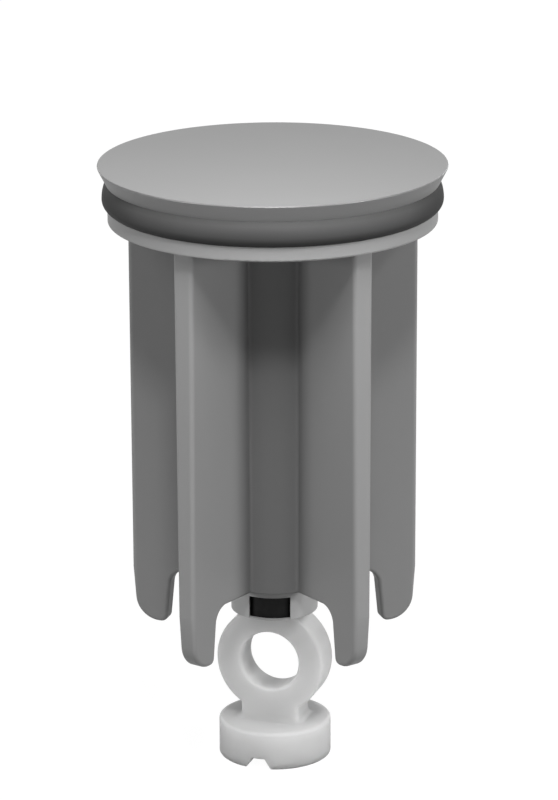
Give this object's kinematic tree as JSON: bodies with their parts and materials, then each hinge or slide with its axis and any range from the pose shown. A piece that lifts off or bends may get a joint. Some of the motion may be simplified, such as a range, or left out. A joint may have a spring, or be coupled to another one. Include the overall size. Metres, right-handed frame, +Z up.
{
  "type": "basin plug",
  "caption": "Pop-up basin plug: a flat satin cap over a rubber seal ring, a finned guide cage, and a height-adjusting screw with an eye for the pop-up rod.",
  "frame": {"origin": "centre of the screw head's underside, on which the plug stands", "axes": "+Z up the plug's axis to the cap, +Y along the hole of the eye, one guide fin along -X"},
  "size_m": [0.0398, 0.0398, 0.0713],
  "materials": {
    "cap_metal": "satin plated",
    "seal_rubber": "matte, dark grey",
    "cage_plastic": "satin moulded grey",
    "insert_steel": "darkened",
    "screw_plastic": "translucent milky white"
  },
  "bodies": {
    "screw_body": {"eye_screw": "screw_plastic"},
    "cage_body": {"cap": "cap_metal", "seal_ring": "seal_rubber", "guide_cage": "cage_plastic", "thread_insert": "insert_steel"}
  },
  "joints": [
    {"name": "height_adjust", "type": "slide", "parent": "screw_body", "child": "cage_body", "axis": [0, 0, 1], "range_m": [0, 0.015]}
  ]
}
